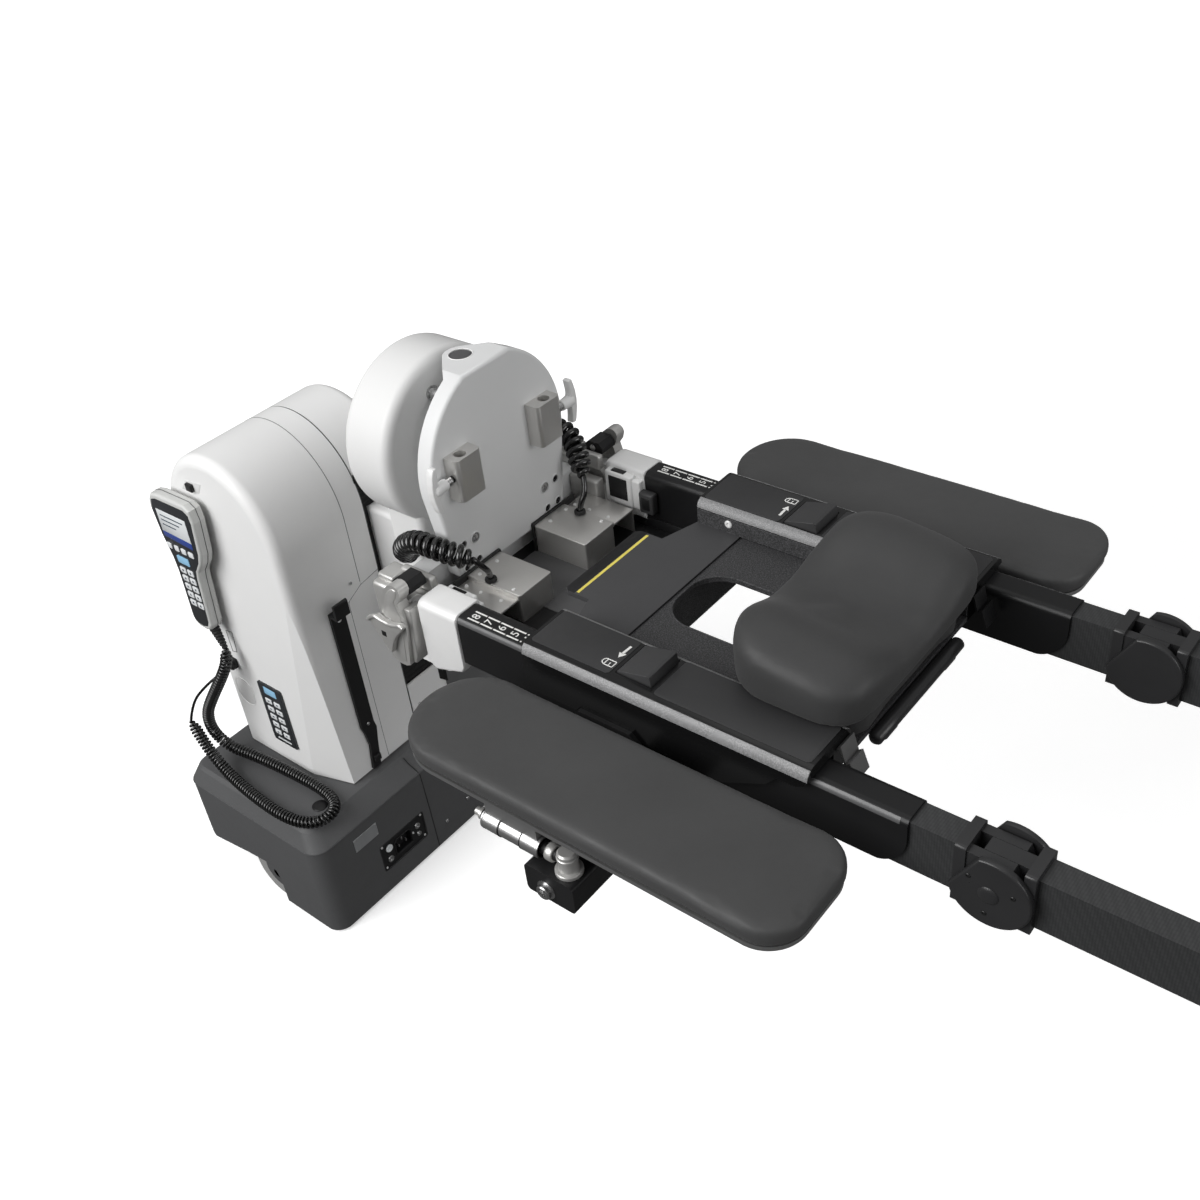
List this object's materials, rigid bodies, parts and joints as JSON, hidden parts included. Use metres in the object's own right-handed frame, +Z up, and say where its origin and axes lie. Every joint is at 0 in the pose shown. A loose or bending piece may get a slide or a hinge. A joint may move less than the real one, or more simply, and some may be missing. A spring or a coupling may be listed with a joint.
{
  "type": "spinal surgery table",
  "caption": "Two-column spinal surgery table: paired rails hinged at mid length, a sliding chest trolley with a face opening and padded armboards, and a rolling head drum with pin posts.",
  "frame": {"origin": "on the floor, under the middle of the bed hinge, half way between the rails", "axes": "+X along the bed from the head end to the foot end, +Y to the patient's far side as pictured, +Z up"},
  "size_m": [3.06, 0.81, 1.122],
  "materials": {
    "shell_white": "satin",
    "base_grey": "textured satin",
    "steel_frame": "satin",
    "guide_steel": "ground",
    "plate_grey": "satin",
    "stainless": "brushed",
    "cast_alu": "satin",
    "black_satin": "satin",
    "black_plastic": "matte",
    "sleeve_black": "satin",
    "carbon": "woven satin",
    "vinyl": "matte",
    "silver": "satin",
    "rubber": "matte",
    "wheel_grey": "matte",
    "handset_grey": "satin",
    "arm_grey": "powder coat"
  },
  "bodies": {
    "head_base": {"head_base_cover": "base_grey", "head_chassis": "steel_frame", "head_floor_feet": "rubber", "tower_near_shell": "shell_white", "tower_far_shell": "shell_white", "tower_front_panel": "shell_white", "head_lift_guide": "guide_steel", "cord_hook_bar": "black_satin", "column_keypad": "black_plastic", "power_inlet": "black_plastic", "handset_shell": "handset_grey", "handset_relief": "rubber", "handset_cord": "rubber"},
    "head_carriage": {"head_carriage": "arm_grey", "drum_housing": "shell_white"},
    "head_yoke": {"face_plate": "cast_alu", "roll_spindle": "guide_steel", "cross_beam": "cast_alu", "latch_clevises": "cast_alu", "pin_posts": "stainless", "sensor_boxes": "stainless", "yoke_tray": "black_satin", "plate_bolts": "guide_steel", "coil_cord_near": "rubber", "coil_cord_far": "rubber"},
    "head_rails": {"rail_caps": "silver", "rail_sleeves": "sleeve_black", "head_rail_tubes": "carbon", "hinge_forks": "arm_grey"},
    "trolley": {"trolley_saddles": "arm_grey", "trolley_pan": "arm_grey", "trolley_front_plate": "arm_grey", "chest_pad": "vinyl", "crossbar": "arm_grey", "arm_brackets": "arm_grey"},
    "release_near": {"release_button_near": "black_plastic"},
    "release_far": {"release_button_far": "black_plastic"},
    "armboard_near": {"armboard_near": "silver", "arm_pad_near": "vinyl"},
    "armboard_far": {"armboard_far": "silver", "arm_pad_far": "vinyl"},
    "t_handle_near": {"t_handle_near": "stainless"},
    "t_handle_far": {"t_handle_far": "stainless"},
    "latch_grip_near": {"latch_grip_near": "black_plastic"},
    "latch_grip_far": {"latch_grip_far": "black_plastic"},
    "latch_lever_near": {"latch_lever_near": "cast_alu"},
    "latch_lever_far": {"latch_lever_far": "cast_alu"},
    "head_wheel_near": {"head_wheel_near": "wheel_grey"},
    "head_wheel_far": {"head_wheel_far": "wheel_grey"},
    "foot_rails": {"foot_rail_tubes": "carbon", "foot_hinge_knuckles": "arm_grey", "foot_rail_caps": "silver"},
    "foot_yoke": {"foot_yoke": "cast_alu"},
    "foot_carriage": {"foot_drum_housing": "arm_grey"},
    "foot_base": {"foot_base_cover": "base_grey", "foot_tower_shell": "shell_white", "foot_lift_guide": "steel_frame"},
    "foot_wheel_near": {"foot_wheel_near": "wheel_grey"},
    "foot_wheel_far": {"foot_wheel_far": "wheel_grey"}
  },
  "joints": [
    {"name": "head_lift", "type": "slide", "parent": "head_base", "child": "head_carriage", "axis": [0, 0, 1], "range_m": [-0.2, 0.06]},
    {"name": "head_roll", "type": "hinge", "parent": "head_carriage", "child": "head_yoke", "pos_m": [-0.88, 0, 0.988], "axis": [1, 0, 0], "range_deg": [-25, 25], "deforming": ["coil_cord_near", "coil_cord_far"]},
    {"name": "head_pitch", "type": "hinge", "parent": "head_yoke", "child": "head_rails", "pos_m": [-0.815, 0, 0.855], "axis": [0, 1, 0], "range_deg": [-10, 10]},
    {"name": "bed_hinge", "type": "hinge", "parent": "head_rails", "child": "foot_rails", "pos_m": [0, 0, 0.8525], "axis": [0, 1, 0], "range_deg": [-20, 20]},
    {"name": "foot_pitch", "type": "hinge", "parent": "foot_rails", "child": "foot_yoke", "pos_m": [0.815, 0, 0.855], "axis": [0, 1, 0], "range_deg": [-10, 10]},
    {"name": "foot_roll", "type": "hinge", "parent": "foot_yoke", "child": "foot_carriage", "pos_m": [0.88, 0, 0.988], "axis": [1, 0, 0], "range_deg": [-25, 25]},
    {"name": "foot_lift", "type": "slide", "parent": "foot_carriage", "child": "foot_base", "axis": [0, 0, 1], "range_m": [-0.06, 0.2]},
    {"name": "trolley_slide", "type": "slide", "parent": "head_rails", "child": "trolley", "axis": [1, 0, 0], "range_m": [-0.05, 0.09]},
    {"name": "release_press_near", "type": "slide", "parent": "trolley", "child": "release_near", "axis": [0, 0, 1], "range_m": [-0.003, 0], "stiffness_N_per_m": 800},
    {"name": "release_press_far", "type": "slide", "parent": "trolley", "child": "release_far", "axis": [0, 0, 1], "range_m": [-0.003, 0], "stiffness_N_per_m": 800},
    {"name": "armboard_tilt_near", "type": "hinge", "parent": "trolley", "child": "armboard_near", "pos_m": [-0.4875, -0.385, 0.793], "axis": [1, 0, 0], "range_deg": [-12, 12]},
    {"name": "armboard_tilt_far", "type": "hinge", "parent": "trolley", "child": "armboard_far", "pos_m": [-0.4875, 0.385, 0.793], "axis": [1, 0, 0], "range_deg": [-12, 12]},
    {"name": "t_handle_turn_near", "type": "hinge", "parent": "head_yoke", "child": "t_handle_near", "pos_m": [-0.81, -0.12, 1.004], "axis": [0, 1, 0], "continuous": true},
    {"name": "t_handle_turn_far", "type": "hinge", "parent": "head_yoke", "child": "t_handle_far", "pos_m": [-0.81, 0.12, 1.004], "axis": [0, 1, 0], "continuous": true},
    {"name": "latch_grip_lift_near", "type": "hinge", "parent": "head_yoke", "child": "latch_grip_near", "pos_m": [-0.822, -0.205, 0.898], "axis": [0, 1, 0], "range_deg": [-70, 0]},
    {"name": "latch_grip_lift_far", "type": "hinge", "parent": "head_yoke", "child": "latch_grip_far", "pos_m": [-0.822, 0.205, 0.898], "axis": [0, 1, 0], "range_deg": [-70, 0]},
    {"name": "latch_lever_swing_near", "type": "hinge", "parent": "head_yoke", "child": "latch_lever_near", "pos_m": [-0.832, -0.235, 0.85], "axis": [0, 1, 0], "range_deg": [-25, 35]},
    {"name": "latch_lever_swing_far", "type": "hinge", "parent": "head_yoke", "child": "latch_lever_far", "pos_m": [-0.832, 0.235, 0.85], "axis": [0, 1, 0], "range_deg": [-25, 35]},
    {"name": "head_wheel_spin_near", "type": "hinge", "parent": "head_base", "child": "head_wheel_near", "pos_m": [-1.33, -0.236, 0.062], "axis": [0, 1, 0], "continuous": true},
    {"name": "head_wheel_spin_far", "type": "hinge", "parent": "head_base", "child": "head_wheel_far", "pos_m": [-1.33, 0.236, 0.062], "axis": [0, 1, 0], "continuous": true},
    {"name": "foot_wheel_spin_near", "type": "hinge", "parent": "foot_base", "child": "foot_wheel_near", "pos_m": [1.33, -0.236, 0.062], "axis": [0, 1, 0], "continuous": true},
    {"name": "foot_wheel_spin_far", "type": "hinge", "parent": "foot_base", "child": "foot_wheel_far", "pos_m": [1.33, 0.236, 0.062], "axis": [0, 1, 0], "continuous": true}
  ],
  "couplings": [
    {"joint": "bed_hinge", "follows": "head_pitch", "ratio": -2},
    {"joint": "foot_pitch", "follows": "head_pitch", "ratio": 1},
    {"joint": "foot_roll", "follows": "head_roll", "ratio": -1},
    {"joint": "foot_lift", "follows": "head_lift", "ratio": -1}
  ]
}
